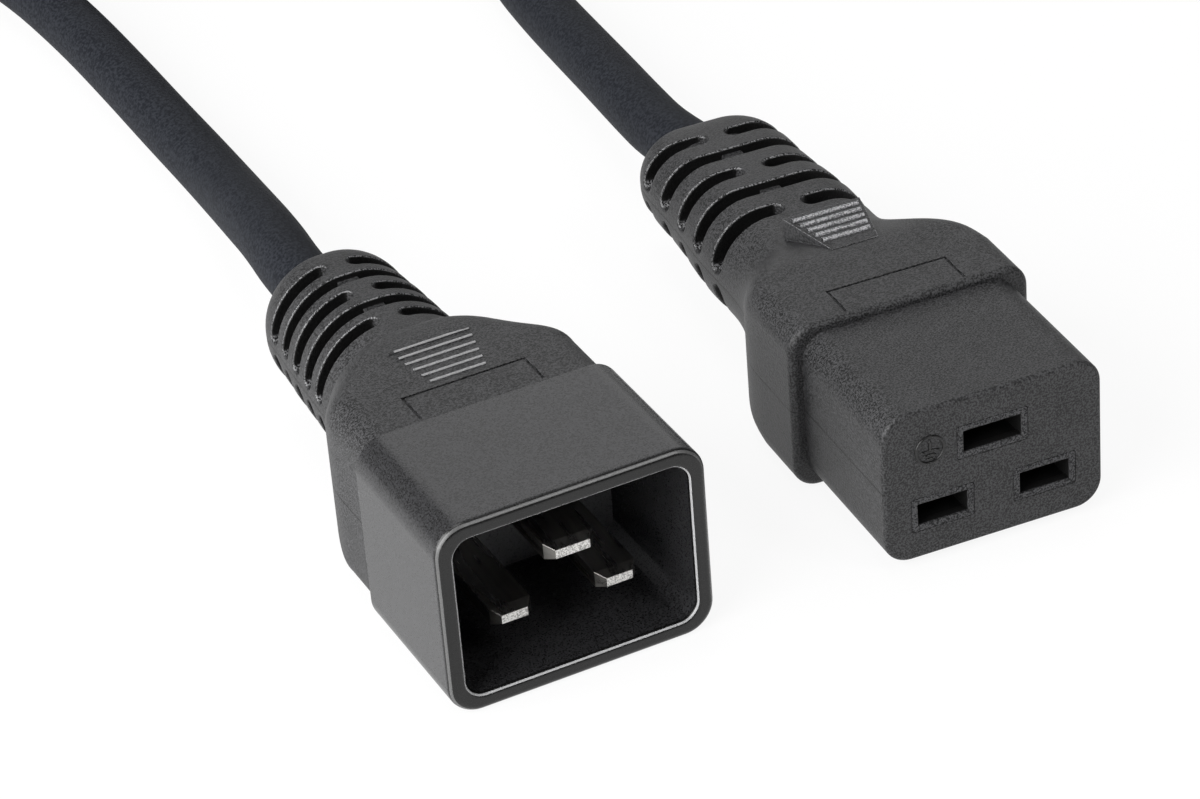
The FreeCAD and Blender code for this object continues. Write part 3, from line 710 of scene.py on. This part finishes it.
def finishNodes():
    # a node's finish goes by the last word of its name, a core's by the word before it
    shades = {"carrier": shadeCarrier, "shroud": shadeShroud}
    finishes = {name: makePlain(name, shades.get(name)) for name in plain}
    finishes.update({name: makeMetal(name) for name in metals})
    mouldings = {end + "_overmould": makeMoulding(end) for end in grips}
    cores = {"earth": "earthCore", "line": "brownCore", "neutral": "blueCore"}
    others = {"contact": "brass", "blade": "nickel", "strands": "copper",
              "carrier": "carrier", "shroud": "shroud"}
    for name, item in nodes.items():
        words = name.split("_")
        if name in mouldings:
            finish = mouldings[name]
        elif words[-1] == "core":
            finish = finishes[cores[words[-2]]]
        else:
            finish = finishes[others.get(words[-1], "cable")]
        setMaterial(item, finish)
    setMaterial(cordPiece, finishes["cable"])
    setMaterial(tiePiece, finishes["tie"])
    return finishes


finishes = finishNodes()
print("finishes on", len(nodes), "nodes")


earthSign = dict(
    # sizes in mm
    x=-7.93,                # middle, from the axis
    z=4.34,
    ring=1.75,
    wire=0.18,
    proud=0.2,
    bars=[
        # both ends of each bar, from the middle
        (0, 1.35, 0, -0.2), (-1.2, -0.2, 1.2, -0.2),
        (-0.82, -0.75, 0.82, -0.75), (-0.42, -1.25, 0.42, -1.25),
    ],
    bluntness=8,            # more makes a bar's ends squarer
    tip=0.01,
    ringSteps=64,
    wireSteps=14,
    barRows=9,
)


def makeEarthSign():
    # The ring is a torus sunk in the face: angle u runs round the ring and v round its wire,
    # point = (ring + wire cos v) (cos u, sin u), wire sin v out of the face. A bar is a rod with domed
    # ends: its radius is wire (1 - (2t - 1)^bluntness)^0.5 at the share t of its length.
    wire = earthSign["wire"]
    u = np.linspace(0, 2 * math.pi, earthSign["ringSteps"], endpoint=False)[:, None]
    v = np.linspace(0, 2 * math.pi, earthSign["wireSteps"], endpoint=False)[None, :]
    reach = earthSign["ring"] + wire * np.cos(v)
    flat = [(np.stack([reach * np.cos(u), reach * np.sin(u), wire * np.sin(v) + 0 * u], axis=-1), 1)]
    t = np.linspace(0, 1, earthSign["barRows"])[:, None]
    girth = wire * np.sqrt(np.clip(1 - (2 * t - 1) ** earthSign["bluntness"], earthSign["tip"], 1))
    for x0, z0, x1, z1 in earthSign["bars"]:
        along = np.array([x1 - x0, z1 - z0])
        across = np.array([-along[1], along[0]]) / np.hypot(*along)
        xz = np.array([x0, z0]) + along * t[..., None] + across * (girth * np.cos(v))[..., None]
        flat.append((np.concatenate([xz, (girth * np.sin(v))[..., None]], axis=-1), 0))
    grids = []
    for grid, wrap in flat:
        x = earthSign["x"] + grid[..., 0]
        y = faceY / mm + wire - earthSign["proud"] - grid[..., 2]
        z = connectorAxis / mm + earthSign["z"] + grid[..., 1]
        grids.append((np.stack([x, y, z], axis=-1), wrap))
    return makePiece("earth_sign", grids)


setMaterial(makeEarthSign(), finishes["sign"])
print("earth sign raised")


studio = dict(
    floorSize=6.0,              # metres
    floorColour=0.86,
    floorSpeck=0.01,            # added to it in places
    speckScale=40.0,
    floorRoughness=0.9,
    floorGlow=0.9,              # share of plain white that the camera sees in the floor
    mirrorGlow=(0.30, 1.5),     # the same in reflections, at the front and at the back, where 1 is all
    glowEnds=(-0.12, 0.02),     # where those are along Y, in metres
    air=(0.08, 0.28),           # light from all round, at the front and at the back
    target=(-25, 30, 10),       # where the lamps point, in mm from the mating face
    lamps=[
        # name, place from the mating face in mm, size in m, watts
        ("left", (-700, -150, 360), 0.8, 15),
        ("top", (-100, 150, 1150), 0.5, 3),
        ("back", (330, 1000, 650), 0.9, 2.4),
        ("front", (340, -520, 660), 0.25, 1.6),
    ],
)


def makeFloor():
    size = studio["floorSize"] / 2
    mesh = bpy.data.meshes.new("floor")
    corners = [(-size, -size, 0), (size, -size, 0), (size, size, 0), (-size, size, 0)]
    mesh.from_pydata(corners, [], [(0, 1, 2, 3)])
    item = bpy.data.objects.new("floor", mesh)
    bpy.context.scene.collection.objects.link(item)
    material, tree, shader, where = newMaterial("floor", Roughness=studio["floorRoughness"])
    speck = add(tree, "TexNoise", Vector=where, Scale=studio["speckScale"])
    value = studio["floorColour"]
    colour = blendColour(tree, speck.outputs[0], (value,) * 3, (value + studio["floorSpeck"],) * 3)
    tree.links.new(colour, shader.inputs["Base Color"])
    # seen: how much of the lit floor is plain white instead, to the camera and in reflections
    path = add(tree, "LightPath")
    mirror = remap(tree, axesOf(tree, where)[1], *studio["mirrorGlow"], *studio["glowEnds"])
    seen = math2(tree, "MAXIMUM", times(tree, path.outputs["Is Camera Ray"], studio["floorGlow"]),
                 times(tree, path.outputs["Is Glossy Ray"], mirror))
    mix = add(tree, "MixShader", i0=seen, i1=shader.outputs[0], i2=add(tree, "Emission").outputs[0])
    tree.links.new(mix.outputs[0], tree.nodes["Material Output"].inputs[0])
    setMaterial(item, material)


def makeLight():
    world = bpy.data.worlds.new("world")
    bpy.context.scene.world = world
    world.use_nodes = True
    tree = world.node_tree
    back = tree.nodes["Background"]
    # the camera sees plain white, and the object is lit by the air
    path = add(tree, "LightPath")
    towards = axesOf(tree, tree.nodes.new("ShaderNodeTexCoord").outputs["Generated"])[1]
    air = remap(tree, towards, *studio["air"], -1, 1)
    strength = math2(tree, "MAXIMUM", path.outputs["Is Camera Ray"], air)
    tree.links.new(strength, back.inputs["Strength"])
    back.inputs["Color"].default_value = (1, 1, 1, 1)
    target = fromFace(studio["target"])
    for name, spot, size, watts in studio["lamps"]:
        data = bpy.data.lights.new(name, "AREA")
        data.shape = "SQUARE"
        data.size = size
        data.energy = watts
        item = bpy.data.objects.new(name, data)
        bpy.context.scene.collection.objects.link(item)
        item.location = fromFace(spot)
        item.rotation_euler = (target - item.location).to_track_quat("-Z", "Y").to_euler()


makeFloor()
makeLight()
bpy.context.scene.view_settings.view_transform = "Standard"
print("studio lit")

bpy.context.view_layer.update()
